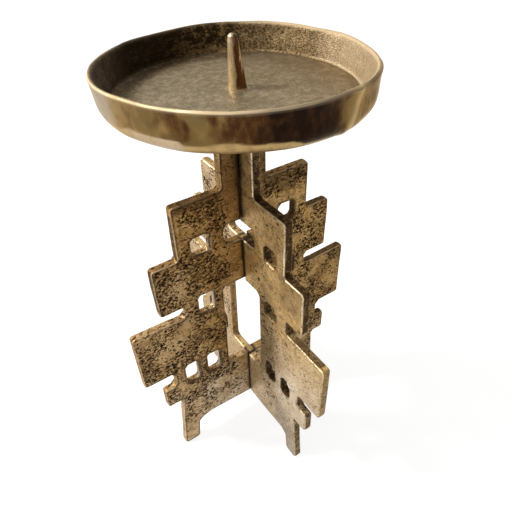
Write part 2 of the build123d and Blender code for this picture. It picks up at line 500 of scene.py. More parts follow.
def layered(colour, *coats):
    """Lays coats over a colour, one after another, each given as its share and its own colour."""
    for share, coat in coats:
        under, over = [(*shade, 1) if isinstance(shade, tuple) else shade for shade in (colour, coat)]
        sockets = {0: share, 6: under, 7: over}
        colour = wired(share.id_data, "Mix", sockets, data_type="RGBA")[2]
    return colour


def finished(colour, roughness, metallic, relief, relief_height, skim=(1, 1, 1, 1)):
    """Joins colour, roughness, metal and relief to the surface; skim tints its mirroring at low angles."""
    tree = colour.id_data
    bump = wired(tree, "Bump", {"Height": relief, "Distance": relief_height, "Strength": 1.0})[0]
    skin = {"Base Color": colour, "Roughness": roughness, "Metallic": metallic}
    skin |= {"Normal": bump, "Specular IOR Level": 0.12, "Specular Tint": skim}
    surface = wired(tree, "BsdfPrincipled", skin)[0]
    wired(tree, "OutputMaterial", {"Surface": surface})


def plate_bronze(name, along, brown, gold, pale, rubbed_and_highlight):
    """Cast bronze: gold under a thin brown patina with painted shade, streaked along the plate, dark in
    pits, pale low down with a painted sheen, with a painted highlight on rubbed edges and painted shade
    where the plates cross and on shaded hole rims.
    """
    finish, place, pit, edge, wall, border, crossing_shade, wear_and_sheen, patina_and_shade, crowd = new_finish(
        name, "pit", "edge", "wall", "border", "crossing_shade", "wear_and_sheen", "patina_and_shade", "crowd"
    )
    streak_stretch = tuple(1 - 0.84 * np.array(along))
    speck_stretch = tuple(1 - 0.45 * np.array(along))
    tilt = tuple(0.25 * np.cross((0, 0, 1), along))
    patches = cloud(place, 0.075, 4.0)
    mottle = cloud(place, 0.42, 5.0, 0.65)
    grain = cloud(place, 2.4, 3.0, 0.7)
    streaks = cloud(place, 1.5, 3.0, 0.6, streak_stretch, tilt)
    specks = cloud(place, 0.9, 3.0, 0.6, speck_stretch, tilt)
    small_specks = cloud(place, 1.8, 2.0, 0.6, speck_stretch, tilt)
    stain = cloud(place, 0.22, 3.0, 0.6)

    ragged = plus(pit, times(grain, 0.8))
    crowd = plus(crowd, times(wall, 0.3))
    crowded = plus(specks, times(crowd, 0.11))
    small_crowded = plus(small_specks, times(crowd, 0.09))
    hollow = greatest(
        slope(ragged, 0.65, 0.95), slope(crowded, 0.63, 0.69), slope(small_crowded, 0.63, 0.68, 0.0, 0.9)
    )
    hollow = times(hollow, slope(stain, 0.36, 0.52, 0.6, 1.0))
    deepest = greatest(slope(ragged, 0.9, 1.25), slope(crowded, 0.67, 0.73))
    halo = greatest(slope(pit, 0.0, 0.6), slope(crowded, 0.57, 0.67))
    wear_and_highlight = times(edge, slope(mottle, 0.3, 0.55, 0.4, 1.0))
    tone = plus(times(patches, 0.45), times(mottle, 0.55))
    colour = layered(
        brown,
        (slope(tone, 0.41, 0.59), gold),
        (slope(grain, 0.35, 0.65, 0.0, 0.5), brown),
        (slope(stain, 0.52, 0.66, 0.0, 0.55), stain_brown),
        # Wear, with a painted sheen low down.
        (times(wear_and_sheen, slope(mottle, 0.3, 0.62, 0.4, 1.0)), pale),
        (times(wear_and_sheen, slope(patches, 0.46, 0.62, 0.0, 0.5)), bare_bronze),
        (slope(streaks, 0.5, 0.7, 0.0, 0.45), pale),
        (slope(streaks, 0.46, 0.3, 0.0, 0.5), brown),
        # Patina, with painted shade and painted shadow.
        (times(patina_and_shade, slope(mottle, 0.35, 0.58, 0.55, 1.0)), patina_and_shade_brown),
        (times(halo, 0.45), pit_edge_brown),
        (slope(grain, 0.42, 0.3, 0.0, 0.35), pale),
        (times(hollow, 0.9), pit_brown),
        (times(deepest, slope(stain, 0.4, 0.52, 0.3, 1.0)), pit_black),
        # Dark lines, and painted shade on the hole rims.
        (times(border, 0.85), line_and_shade_brown),
        # Rubbed edges, with a painted highlight.
        (times(wear_and_highlight, 0.9), rubbed_and_highlight),
        # Painted shade where the plates cross and under the dish.
        (slope(crossing_shade, 0.03, 1.0, 0.0, 0.95), crossing_shade_black),
    )
    dull = plus(slope(mottle, 0.3, 0.7, 0.34, 0.48), times(hollow, 0.35), times(wear_and_highlight, 0.1))
    dull = plus(dull, times(wall, 0.12))
    metal = slope(hollow, 0.0, 1.0, 0.65, 0.4)
    raised = plus(times(grain, 0.35), times(streaks, 0.35))
    relief = reckoned("SUBTRACT", raised, plus(hollow, times(halo, 0.4)))
    skim = layered(patina_skim, (wear_and_sheen, bare_skim))
    finished(colour, dull, metal, relief, 0.26 * mm, skim)
    return finish


def long_plate_wear_and_shade(reach, level, facing, normals, in_hole):
    """Chance of pits, paleness with a painted sheen, patina with painted shade, rubbed edges with a
    painted highlight, and dark lines with painted shade on hole rims, at each reach and level in mm.

    Pits crowd the middle of the wings. The left wing is dark on its neck and along its step's top,
    with painted shade under that top edge, and bright on its ends and in its holes, with a painted
    sheen on the hole walls turned toward the lamp. The right wing has the dish's painted shadow near
    the dish and is dark on its edges.
    """
    sideways, upward = normals.T
    span = np.abs(reach)
    on_face = np.abs(facing) == 1
    left = reach < 0
    faces_up = eased(upward, 0.3, 0.8)
    on_wing = eased(span, 5, 14) * eased(level, 8, 40) * (1 - 0.85 * eased(level, 150, 160))
    # Paler low down: wear, and a painted sheen of the floor.
    wear_and_sheen = 0.75 * (1 - eased(level, 25, 62)) * (1 - 0.6 * eased(span, 25, 40))
    wear_and_sheen = wear_and_sheen + 0.22 * left * eased(span, 20, 36) * (1 - eased(level, 118, 130))
    wear_and_sheen = np.where(on_face | left, wear_and_sheen, 0)
    # The left wing's hole walls are paler on the side turned toward the lamp, a painted sheen.
    wear_and_sheen = np.where(in_hole & left, 0.3 + 0.7 * eased(-sideways, 0.2, 0.6), wear_and_sheen)

    paler_band = np.exp(-(((span - 5) / 2) ** 2))
    upright_bands = lumps(np.column_stack([reach, facing, 0.12 * level]), 1.9, 21)
    on_neck = eased(level, 148, 156) * (0.4 - 0.4 * paler_band + 0.8 * upright_bands)
    # Painted shade in a band under the top edge of the left wing's upper step.
    shade_under_top = 0.8 * eased(level - upper_step_top / mm, -4.5, -1.0) * eased(span, 10, 13)
    by_neck = 0.45 * eased(level, 138, 150) * (1 - eased(span, 10, 19))
    face_left = np.maximum.reduce([on_neck, shade_under_top, by_neck])
    # Painted shadow of the dish across the top of the right wing's face, with a wandering lower edge.
    drifting = 5 * lumps(np.column_stack([reach, facing, level]), 5, 22)
    dish_shadow_right = 0.8 * eased(level + drifting, 140, 150)
    step_ledge = 0.95 * faces_up * eased(level, 130, 150) * eased(span, 13, 17)
    shoulder_ledge = 0.45 * faces_up * (np.abs(level - shoulder_top / mm) < 2)
    wing_end = 1.15 * (upward < 0.5) * (level > 104) * (level < 150)
    wall_left = np.maximum.reduce([step_ledge, shoulder_ledge, wing_end])
    wall_left = np.where(in_hole, 0.1 + 0.35 * faces_up * (1 - eased(level, 70, 80)), wall_left)
    wall_right = (0.9 - 0.75 * faces_up * eased(level, 148, 151)) * eased(span, 4, 18)
    patina_and_shade_left = np.where(on_face, face_left, wall_left)
    patina_and_shade = np.where(left, patina_and_shade_left, np.where(on_face, dish_shadow_right, wall_right))

    dark_top = left & (upward > 0.5) & (level > 145) & (span > 13) & (span < 30)
    # How bright the edges are painted: part wear, part painted highlight.
    rubbed_and_highlight = np.where(in_hole, 0.15, np.where(dark_top, 0.2, 0.75))
    # Painted shade on the front rims of the holes, on their lower and right sides.
    rim = eased(facing, 0.3, 0.6) * (1 - eased(facing, 0.96, 1.0))
    rim = rim * eased(0.8 * upward - 0.6 * sideways, 0.2, 0.5)
    groove = 0.8 * np.exp(-(((facing - 0.18) / 0.12) ** 2)) * (upward > 0.5) * (level < 130)
    lined = np.where(on_face, 1, np.where(in_hole, rim, groove))
    return 0.2 + 0.75 * on_wing, wear_and_sheen, patina_and_shade, rubbed_and_highlight, lined


left_wing = wing_corners(
    0,
    toe=3.1 * mm,
    low_tab=(1.2 * mm, 0),
    wide_tab=(1.9 * mm, 0.9 * mm),
    shoulder=(0.7 * mm, 0.2 * mm, 1.0 * mm),
    step=(1.35 * mm, 1.1 * mm, 1.1 * mm),
)
right_wing = wing_corners(
    0,
    low_tab=(0.6 * mm, 2.3 * mm),
    wide_tab=(1.1 * mm, 2.0 * mm),
    shoulder=(1.9 * mm, 1.7 * mm, 1.1 * mm),
    step=(1.2 * mm, 0.5 * mm, 0.5 * mm),
)
middle_hole_top = upper_row + upper_hole_half[1]
middle_hole_bottom = upper_row - upper_hole_half[1]
slot_side = [
    (slot_half, neck_top, slot_radius),
    (slot_half, middle_hole_top, slot_radius),
    (neck_reach, middle_hole_top, hole_radius),
    (neck_reach, middle_hole_bottom, hole_radius),
    (slot_half, middle_hole_bottom, slot_radius),
    (slot_half, joint_level, slot_radius),
]
long_outline = [
    (-arch_reach, arch_level, arch_radius),
    (0, belly_level, belly_radius),
    *right_wing,
    *slot_side,
    *mirrored(slot_side),
    *mirrored(left_wing)[:-1],
]
window_size = (window_half, (window_top - window_sill) / 2)
window = square_hole(0, (window_top + window_sill) / 2, window_size, window_radius, 0)
long_way = (1, 0, 0)
long_plate = cast_plate(
    "long_plate_cast",
    long_way,
    long_outline,
    [*small_holes(0, right_shift=0.9 * mm), (window, edge_round)],
    long_plate_wear_and_shade,
    foot_bow=2.1 * mm,
    seed=11,
)
long_bronze = plate_bronze(
    "aged_bronze_long",
    long_way,
    brown=(0.285, 0.155, 0.047),
    gold=(0.60, 0.38, 0.135),
    pale=(0.64, 0.485, 0.30),
    rubbed_and_highlight=(0.70, 0.55, 0.37),
)
long_plate.data.materials.append(long_bronze)
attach(long_plate, "root")
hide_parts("long_plate")

# Cross plate: the second bronze casting from the same pattern, slotted from below and pushed down
# over the first, where it sits a little lower. Its faces are smoother, rubbed in fine strokes along
# the plate, with few pits.
cross_drop = 1.4 * mm


def cross_plate_wear_and_shade(reach, level, facing, normals, in_hole):
    """Chance of pits, paleness with a painted sheen, patina with painted shade, rubbed edges with a
    painted highlight, and dark lines with painted shade on hole rims, at each reach and level in mm.

    Pits are few, but denser on the side that faces away from the lamp. The front wing is rubbed
    pale lower down, with a painted sheen, and darker on its neck and its shoulder. Its walls carry
    patina and painted shade, more of it high up near the dish, and the walls of its holes carry
    painted shade, lighter on the upper holes' bottoms that face up to the lamp.
    """
    sideways, upward = normals.T
    span = np.abs(reach)
    on_face = np.abs(facing) == 1
    back_wing = reach > 0
    upper = eased(level, 70, 80)
    on_wing = eased(span, 5, 14) * eased(level, 8, 40)
    near_window = eased(span, 12, 15) * (1 - eased(span, 22, 32)) * (1 - eased(level, 100, 112))
    near_window = near_window * (0.3 + 0.7 * eased(level, 42, 54))
    chance = 0.06 + np.where(facing > 0, 0.45, 0.08 + 0.5 * near_window) * on_wing
    chance = np.where(back_wing & (level > 90), 0.75, chance)
    chance = np.where(on_face | back_wing, chance, 0.6)
    # Paler low down: wear, and a painted sheen of the floor.
    wear_and_sheen = 0.1 + 0.85 * (1 - eased(level, 50, 108)) * (0.6 + 0.4 * eased(span, 24, 34))
    wear_and_sheen = np.where(back_wing, 0.5, wear_and_sheen + 0.04 * eased(level, 128, 136))

    on_neck = 0.22 * eased(level, 146, 156)
    on_foot = 0.45 * (1 - eased(level, 24, 42)) * eased(span, 24, 30)
    on_shoulder = 0.46 * eased(level, 104, 112) * (1 - eased(level, 126, 134)) * eased(span, 24, 34)
    on_tab = 0.14 * eased(span, 44, 50)
    face = np.maximum.reduce([on_neck, on_foot, on_shoulder, 0.5 * near_window, on_tab])
    in_opening = (span < 15) & (level < 110)
    # Patina and painted shade on the walls, darker high up where the dish shades them.
    wall = 0.85 + 0.35 * eased(level, 96, 110)
    wall = np.where(back_wing | in_opening | (span > 58), 0.2, wall)
    # Painted shade in the holes: dark walls, lighter on the upper holes' bottoms that face up to the lamp.
    wall = np.where(in_hole, 1.2 - 0.5 * eased(upward, 0.3, 0.8) * upper, wall)
    patina_and_shade = np.where(on_face, np.where(back_wing, 0.3, face), wall)

    # Rubbed edges with a painted highlight, strong only on the side toward the lamp and on hole bottoms
    # turned up to it.
    rubbed_and_highlight = np.where(in_hole, 0.2 * eased(upward, 0.1, 0.5) * upper, 1)
    rubbed_and_highlight = rubbed_and_highlight * (0.55 + 0.45 * eased(level, 94, 104)) * np.where(facing > 0, 0.12, 1)
    # Painted shade on the front rims of the holes, on the sides turned from the lamp.
    rim = 0.6 * eased(-facing, 0.3, 0.6) * (1 - eased(-facing, 0.96, 1.0)) * eased(-sideways, 0.3, 0.7)
    groove = 0.95 * np.exp(-(((facing + 0.25) / 0.18) ** 2)) * (span > 58) * (sideways < -0.5)
    lined = np.where(on_face, 0.2, rim * in_hole + groove)
    return chance, np.where(on_face, wear_and_sheen, 0.3 * wear_and_sheen), patina_and_shade, rubbed_and_highlight, lined


front_wing = wing_corners(
    cross_drop,
    toe=1.6 * mm,
    heel=0.6 * mm,
    low_tab=(1.5 * mm, 0),
    wide_tab=(0, 1.6 * mm),
    shoulder=(-0.3 * mm, -1.9 * mm, 0),
    step=(0, -0.3 * mm, -0.3 * mm),
)
belly_at_slot = belly_level + (arch_level - belly_level) / arch_reach * slot_half
window_side = [
    (slot_half, joint_level, slot_radius),
    (slot_half, window_top - cross_drop, slot_radius),
    (window_half, window_top - cross_drop, window_radius),
    (window_half, window_sill - cross_drop, window_radius),
    (slot_half, window_sill - cross_drop, slot_radius),
]
cross_outline = [
    (slot_half, belly_at_slot, slot_radius),
    *wing_corners(cross_drop),
    *mirrored(front_wing),
    (-slot_half, belly_at_slot, slot_radius),
    *mirrored(window_side),
    *window_side,
]
middle_size = (neck_reach, upper_hole_half[1])
middle_hole = square_hole(0, upper_row - cross_drop, middle_size, hole_radius, 0.3 * mm)
cross_holes = small_holes(
    cross_drop,
    narrower=(hole_shrink, hole_shrink, hole_shrink, 1.2 * mm),
    shorter=(hole_shrink, 1.9 * mm, 1.9 * mm, 2.0 * mm),
    lower=(1.5 * mm, 0.2 * mm, 0.5 * mm, 0),
)
cross_way = (0, 1, 0)
cross_plate = cast_plate(
    "cross_plate_cast",
    cross_way,
    cross_outline,
    [*cross_holes, (middle_hole, edge_round)],
    cross_plate_wear_and_shade,
    foot_bow=0,
    seed=47,
)
cross_bronze = plate_bronze(
    "aged_bronze_cross",
    cross_way,
    brown=(0.50, 0.32, 0.115),
    gold=(0.88, 0.60, 0.24),
    pale=(0.60, 0.495, 0.37),
    rubbed_and_highlight=(0.98, 0.83, 0.60),
)
cross_plate.data.materials.append(cross_bronze)
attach(cross_plate, "root")
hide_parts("cross_plate")

# Drip dish: a bronze casting, turned smooth on the floor and filed outside, while the inner wall is
# left rough from the mould. It is brazed to the tops of both necks, and bored for the pricket.
dish_floor = 192.5 * mm
dish_rim = 203.8 * mm
rim_radius = 50.7 * mm
base_radius = 49.2 * mm
floor_radius = 45.2 * mm
rim_width = 2.0 * mm
rim_round = 0.9 * mm
lower_edge_radius = 5.0 * mm
wall_foot_radius = 1.5 * mm
bore_radius = 2.05 * mm
seat_radius = 3.7 * mm
seat_level = 191.9 * mm
countersink_radius = 3.05 * mm
countersink_depth = 1.0 * mm
bore_edge = 0.1 * mm
section_step = 0.62 * mm
flat_start = 6 * mm
flat_end = 42 * mm
dish_sides = 640
wall_brown = (0.16, 0.10, 0.032)
wall_gold = (0.28, 0.175, 0.06)
wall_olive = (0.14, 0.125, 0.055)
crease_gold = (0.5, 0.35, 0.17)
# Colours of the painted dark reflections on the outside wall.
dark_reflection_brown = (0.075, 0.03, 0.009)
dark_reflection_black = (0.013, 0.006, 0.003)
# Painted pale sheen at the left end of the outside wall.
painted_sheen_cream = (0.50, 0.42, 0.32)
lip_gold = (0.50, 0.34, 0.14)
lip_ivory = (0.55, 0.42, 0.27)
floor_drab = (0.26, 0.205, 0.13)
floor_tan = (0.34, 0.28, 0.195)
floor_patch = (0.20, 0.165, 0.095)
# Painted shade at the wall's foot and the wall's painted shadow on the floor.
floor_wall_shadow = (0.09, 0.055, 0.023)
floor_ring = (0.17, 0.13, 0.075)
floor_speck = (0.14, 0.105, 0.055)
floor_glint = (0.46, 0.39, 0.27)
floor_drag = (0.18, 0.14, 0.08)
floor_scrape = (0.42, 0.35, 0.24)
floor_seat = (0.45, 0.36, 0.24)
floor_shade = (0.15, 0.12, 0.075)
cast_tan = (0.41, 0.31, 0.19)
cast_cream = (0.55, 0.44, 0.30)
# Colours of the inner wall in painted half shade.
dim_dark = (0.05, 0.032, 0.014)
dim_gold = (0.25, 0.175, 0.09)
fleck_dark = (0.05, 0.031, 0.014)
fleck_bright = (0.24, 0.155, 0.068)
# Colours of the inner wall in sooty painted shade on the lamp side.
soot_shade_black = (0.022, 0.013, 0.006)
soot_shade_brown = (0.125, 0.085, 0.052)
# Pale rim colour, rubbed and with a painted highlight.
rim_highlight_bronze = (0.62, 0.49, 0.32)
lit_skim = (1.0, 0.98, 0.93)
far_skim = (0.92, 0.73, 0.49)


def turned_points(radius, level, bearings):
    """Points at the radius times the cosine and the sine of each bearing, and at the level."""
    sides = np.broadcast_arrays(radius * np.cos(bearings), radius * np.sin(bearings), level)
    return np.stack(sides, axis=-1).reshape(-1, 3)


def turned_quads(rings, sides, closed):
    """Quads from each ring of a turned piece to the next, and from the last to the first if closed."""
    row, lane = np.meshgrid(np.arange(rings if closed else rings - 1), np.arange(sides), indexing="ij")
    below, beside = (row + 1) % rings * sides, (lane + 1) % sides
    quads = np.stack([row * sides + lane, row * sides + beside, below + beside, below + lane])
    return quads.reshape(4, -1).T.tolist()


def bell(bearing, middle, width, power):
    """1 at the middle bearing, falling off on both sides in a bell of that width, in degrees."""
    away = (bearing - middle + 180) % 360 - 180
    return np.exp(-((away / width) ** power))


def highest_bell(bearing, places, power):
    """The greatest of the bells at the places, each given as its middle, width and height."""
    bells = [height * bell(bearing, middle, width, power) for middle, width, height in places]
    return np.maximum.reduce(bells)


dish_corners = [
    (base_radius, neck_top, lower_edge_radius),
    (rim_radius, dish_rim, rim_round),
    (rim_radius - rim_width, dish_rim, rim_round),
    (floor_radius, dish_floor, wall_foot_radius),
    (seat_radius, dish_floor, bore_edge),
    (seat_radius, seat_level, bore_edge),
    (bore_radius, seat_level, bore_edge),
    (bore_radius, neck_top + countersink_depth, bore_edge),
    (countersink_radius, neck_top, bore_edge),
]
section, section_inward = filed_path(dish_corners, section_step)
on_flat = (section[:, 0] > flat_start) & (section[:, 0] < flat_end)
spare = on_flat & (np.arange(len(section)) % 3 > 0)
section, section_inward = section[~spare], section_inward[~spare]
bearings = np.linspace(0, 2 * math.pi, dish_sides, endpoint=False)
degrees = np.degrees(bearings)
radius, level = section[:, 0, None], section[:, 1, None]
from_axis = section_inward[:, 0, None]
inside_wall = eased(radius, 43.4 * mm, 45.0 * mm) * (level > dish_floor - 0.1 * mm) * (from_axis > 0.3)
outside_wall = eased(radius, 43 * mm, 48 * mm) * (from_axis < -0.3)
on_floor = (np.abs(level - dish_floor) < 0.3 * mm) * (radius < 46 * mm) * (radius > seat_radius)
on_rim = eased(level, dish_rim - 1.3 * mm, dish_rim - 0.2 * mm)
ring = turned_points(radius, level, bearings)


def dish_lumps(cell, seed):
    """Lumps all round the dish, as a grid of section points by bearings."""
    return lumps(ring, cell * mm, seed).reshape(len(section), dish_sides)


# Each point of the section moves off the metal by the shift, in millimetres, and then outwards by
# as much as the dish is out of round there. Both change from bearing to bearing.
wandering = degrees + (5 * dish_lumps(6, 77) + 3 * dish_lumps(2.5, 78))
unrolled = (wandering + 40) % 360 - 40
far_side = 1 - eased(unrolled, 192, 236)
coarse = 0.3 + 0.7 * eased(unrolled, 0, 40) * far_side
shift = inside_wall * coarse * (0.10 * dish_lumps(1.1, 71) + 0.16 * dish_lumps(2.7, 72) - 0.12)
shift = shift + outside_wall * (0.28 * dish_lumps(12, 73) + 0.07 * dish_lumps(4.5, 74) - 0.2)
shift = shift + on_floor * (0.02 * dish_lumps(8, 75)) * eased(radius, seat_radius, 8 * mm)
shift = shift + on_rim * (0.12 * dish_lumps(7, 76) - 0.12)
crease = bell(degrees, 279 + 7 * (level - neck_top) / (dish_rim - neck_top), 1.6, 2)
low_down = eased(radius, 42 * mm, 47 * mm) * (1 - eased(level, neck_top + 5 * mm, neck_top + 11 * mm))
shift = shift + 0.3 * crease * outside_wall + (0.25 + 0.55 * bell(degrees, -78, 30, 4)) * low_down

flat_places = ((-22, 22, 1.5), (13, 13, 1.6), (102, 19, 2.8), (131, 16, 1.5), (-160, 14, 0.8))
swollen_places = ((-185, 26, 0.5), (-52, 24, 0.4))
out_of_round = highest_bell(degrees, swollen_places, 2) - highest_bell(degrees, flat_places, 2)
out_of_round = out_of_round * eased(level, neck_top, dish_rim) * (radius > 40 * mm)

# Painted dark reflections on the outside wall, at these bearings.
dark_reflection_places = (
    (-99, 16, 0.95),
    (-113, 8, 0.75),
    (-122, 9, 0.55),
    (-144, 5, 0.5),
    (-160, 4, 0.25),
    (-64, 9, 0.5),
    (20, 12, 0.7),
    (70, 9, 0.6),
    (118, 14, 0.8),
)
dark_reflection = highest_bell(wandering, dark_reflection_places, 4)
# Painted shade, with soot, on the inner wall on the lamp side, which faces away from the lamp.
soot_and_shade = eased(unrolled, 36, 66) * far_side
# Painted half shade on the inner wall between its lit and shaded sides.
dim = eased(unrolled, -22, 24) * (1 - eased(unrolled, 192, 250))
ivory = highest_bell(wandering, ((-150, 14, 1.0), (60, 40, 0.6)), 4)
lip_places = ((-152, 12, 1.4), (-124, 12, 0.9), (-84, 12, -1.6), (-107, 6, 0.8))
lip = 3.3 + 0.9 * dish_lumps(7, 79)
lip = lip + sum(higher * bell(wandering, middle, width, 4) for middle, width, higher in lip_places)
roll = eased(neck_top + lip * mm - level, -0.4 * mm, 0.4 * mm) * (radius > 40 * mm) * (from_axis < 0.3)
# The rim keeps the painted shade on the shaded side, and elsewhere is rubbed pale with a painted highlight
# that fades to the front right.
kept_in_shade = 0.9 * soot_and_shade * eased(50.2 * mm - radius, 0, 0.4 * mm)
rubbed_and_highlight = on_rim * (1 - kept_in_shade) * (1 - 0.5 * bell(wandering, -72, 36, 4))
dish_traits = {
    "rough": inside_wall,
    "turned": on_floor,
    "outside": outside_wall,
    "rubbed_and_highlight": rubbed_and_highlight,
    "dark_reflection": dark_reflection,
    "soot_and_shade": soot_and_shade,
    "dim": dim,
    "roll": roll,
    "ivory": ivory,
    "crease": crease * outside_wall,
}
dish = made_piece(
    "drip_dish_cast",
    turned_points(
        radius - from_axis * shift * mm + out_of_round * mm,
        level - section_inward[:, 1, None] * shift * mm,
        bearings,
    ),
    turned_quads(len(section), dish_sides, closed=True),
    {trait: np.broadcast_to(amount, shift.shape).ravel() for trait, amount in dish_traits.items()},
)


def coordinates(place):
    """The three coordinates of a place."""
    return wired(place.id_data, "SeparateXYZ", {"Vector": place})[:]


def dish_bronze(name):
    """Polished outside, with painted dark reflections and a painted pale sheen at the left end; rough
    inside the wall, with sooty painted shade on the side toward the lamp; turned satin on the floor, with
    painted shade and the wall's painted shadow at its foot; the rim pale, rubbed and with a painted
    highlight.
    """
    finish, place, rough, turned, outside, rubbed_and_highlight, dark_reflection, soot_and_shade, dim, roll, ivory, crease = new_finish(
        name, *dish_traits
    )
    patches = cloud(place, 0.07, 4.0, 0.55, (1, 1, 0.8))
    mottle = cloud(place, 0.28, 5.0, 0.6)
    grain = cloud(place, 1.7, 4.0, 0.75, (0.6, 0.6, 1))
    drag = cloud(place, 1.1, 3.0, 0.6, (0.35, 0.35, 1))
    drips = cloud(place, 0.22, 3.0, 0.6, (1, 1, 0.4))
    tree = place.id_data
    x, y, z = coordinates(place)
    flat_place = wired(tree, "CombineXYZ", {0: x, 1: y, 2: 0.0})[0]
    from_axis = wired(tree, "VectorMath", {0: flat_place}, operation="LENGTH")["Value"]
    ring_place = wired(tree, "CombineXYZ", {0: from_axis, 1: 0.0, 2: 0.0})[0]
    rings = cloud(ring_place, 1.6, 4.0, 0.7)

    # Painted dark reflections, broken by drips and mottle.
    reflection_and_drips = plus(dark_reflection, slope(drips, 0.3, 0.7, -0.13, 0.13), slope(mottle, 0.3, 0.7, -0.08, 0.08))
    # Painted pale sheen at the left end of the outside wall.
    left_end_sheen = times(slope(x, -34.0, -42.0), slope(y, -12.0, -4.0))
    wall = layered(
        wall_brown,
        (slope(patches, 0.36, 0.62), wall_gold),
        (slope(mottle, 0.5, 0.72, 0.0, 0.5), wall_olive),
        (times(crease, 0.8), crease_gold),
        (slope(reflection_and_drips, 0.05, 0.7), dark_reflection_brown),
        (slope(reflection_and_drips, 0.45, 1.05), dark_reflection_black),
        (times(outside, left_end_sheen, 0.55), painted_sheen_cream),
        (times(roll, slope(mottle, 0.3, 0.6, 0.6, 1.0)), layered(lip_gold, (ivory, lip_ivory))),
    )
    # Painted shade round the wall's foot, widened into the wall's painted shadow on the lamp side.
    wall_shadow_foot = plus(from_axis, slope(mottle, 0.2, 0.8, -2.0, 2.0), times(soot_and_shade, 8.0))
    floor = layered(
        floor_drab,
        (slope(mottle, 0.35, 0.65), floor_tan),
        (slope(patches, 0.46, 0.6, 0.0, 0.6), floor_patch),
        (slope(wall_shadow_foot, 41.5, 46.5, 0.0, 0.92), floor_wall_shadow),
        (slope(rings, 0.4, 0.65, 0.0, 0.45), floor_ring),
        (slope(grain, 0.5, 0.6, 0.0, 0.45), floor_speck),
        (slope(grain, 0.45, 0.36, 0.0, 0.4), floor_glint),
        (slope(drag, 0.5, 0.62, 0.0, 0.5), floor_drag),
        (slope(drag, 0.46, 0.36, 0.0, 0.35), floor_scrape),
        (slope(from_axis, 4.9, 3.9, 0.0, 0.7), floor_seat),
    )
    # The inner wall takes painted half shade, then sooty painted shade, with gold flecks brighter toward
    # the lit side.
    dim_cast = layered(dim_dark, (slope(grain, 0.38, 0.62), dim_gold))
    flecks = plus(times(grain, 0.6), times(drag, 0.4), slope(mottle, 0.3, 0.7, -0.08, 0.08))
    flecks = plus(flecks, slope(z, 193.5, 198.0, 0.05, 0.0))
    fleck_gold = layered(fleck_dark, (slope(x, -12.0, 18.0), fleck_bright))
    bare_soot_shade = layered(soot_shade_black, (slope(x, -24.0, -42.0), soot_shade_brown))
    soot_shaded_cast = layered(bare_soot_shade, (slope(flecks, 0.46, 0.66), fleck_gold))
    cast = layered(cast_tan, (slope(grain, 0.3, 0.7), cast_cream), (dim, dim_cast), (soot_and_shade, soot_shaded_cast))
    colour = layered(
        wall,
        (turned, floor),
        (times(turned, slope(x, 5.0, 40.0, 0.0, 0.35)), floor_shade),
        (rough, cast),
        # Rubbed rim with a painted highlight.
        (times(rubbed_and_highlight, 0.9), rim_highlight_bronze),
    )
    dull = plus(slope(mottle, 0.3, 0.7, 0.22, 0.34), times(rough, 0.28), times(rubbed_and_highlight, 0.32))
    dull = plus(dull, times(roll, 0.12))
    turned_dull = slope(rings, 0.3, 0.7, 0.46, 0.58)
    dull = wired(tree, "Mix", {0: turned, 2: dull, 3: turned_dull})[0]
    dull = plus(dull, times(outside, slope(x, -38.0, -48.0, 0.0, 0.22)))
    relief = plus(times(grain, plus(rough, times(turned, 0.08))), times(rings, times(turned, 0.2)))
    skim = layered(lit_skim, (slope(x, -25.0, 30.0), far_skim))
    finished(colour, dull, 0.8, relief, 0.18 * mm, skim)
    return finish


dish.data.materials.append(dish_bronze("polished_bronze_dish"))
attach(dish, "root")
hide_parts("drip_dish")

# Pricket: a blunt tapered spike, turned from bronze and filed by hand. Its shoulder seats on the dish
# floor, and its shank goes through the bore to a tail spread flush with the underside.
spike_height = 18.6 * mm
spike_lean = 0.9 * mm * np.array([-0.84, 0.545])
shoulder_radius = 3.6 * mm
shank_radius = 2.0 * mm
tail_radius = 2.9 * mm
tail_level = neck_top + 0.1 * mm
spike_gold = (0.50, 0.36, 0.18)
filed_pale = (0.74, 0.58, 0.36)
ring_brown = (0.36, 0.23, 0.09)
# Stain and painted shade on the spike's side turned from the lamp.
stain_and_shade_brown = (0.10, 0.047, 0.016)
foot_pale = (0.50, 0.40, 0.27)
spike_taper = ((3.1, 4.1), (2.52, 9.7), (2.02, 15.2), (1.6, 17.8), (1.0, 18.4))
spike_profile = [
    (0, tail_level),
    (tail_radius, tail_level),
    (shank_radius, neck_top + countersink_depth),
    (shank_radius, seat_level),
    (shoulder_radius, seat_level),
    (shoulder_radius, dish_floor),
    *[(radius * mm, dish_floor + height * mm) for radius, height in spike_taper],
    (0, dish_floor + spike_height),
]


